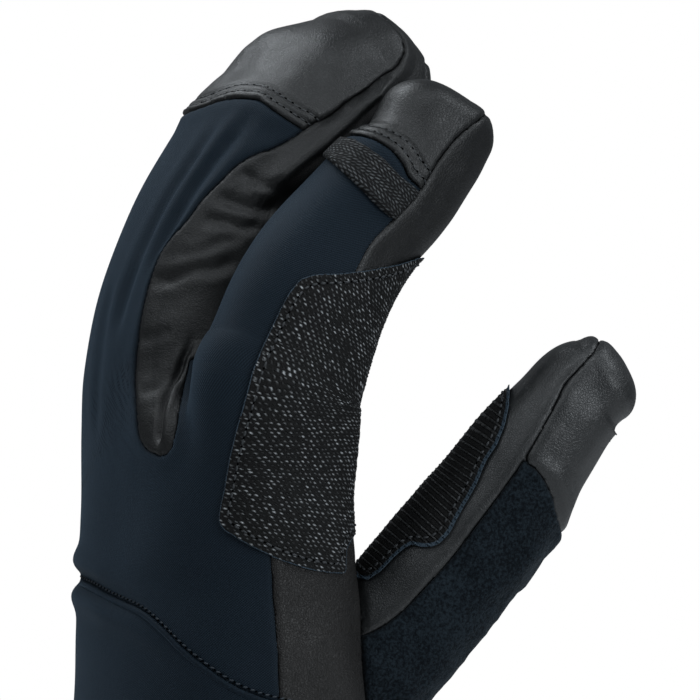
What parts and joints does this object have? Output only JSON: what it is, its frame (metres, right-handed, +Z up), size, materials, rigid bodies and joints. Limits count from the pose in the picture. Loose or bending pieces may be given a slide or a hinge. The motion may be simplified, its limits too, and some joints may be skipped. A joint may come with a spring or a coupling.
{
  "type": "snowboard mitten",
  "caption": "Left-hand snowboard mitten, pre-curved, with a mitt for the outer fingers, a separate index finger, a thumb and leather grip.",
  "frame": {"origin": "centre of the opening that the hand goes into, at the hem", "axes": "+Z up the hand towards the fingertips, +Y out of the palm, -Y out of the back of the hand, +X towards the index finger"},
  "size_m": [0.1236, 0.1399, 0.2398],
  "materials": {
    "softshell": "matte navy softshell cloth, fine diagonal weave",
    "leather": "near-black fine-grained leather, soft sheen",
    "side_leather": "brown-black fine-grained leather, satin",
    "gusset_leather": "soft brown-black leather, creased",
    "grip": "black knurled synthetic grip with small bright ridges",
    "suede": "blue-black suede, mottled and matte",
    "webbing": "black herringbone webbing"
  },
  "bodies": {
    "root": {"back_panel": "softshell", "cuff_panel": "softshell", "wrist_piping": "softshell", "palm_panel": "leather", "side_panel": "side_leather", "mitt_cap": "leather", "finger_gusset": "gusset_leather", "index_cap": "leather", "index_palm": "leather", "finger_loop": "webbing", "grip_patch": "grip", "thumb_patch": "grip", "thumb_wall": "leather", "thumb_tip": "leather", "thumb_back": "suede"}
  },
  "joints": []
}
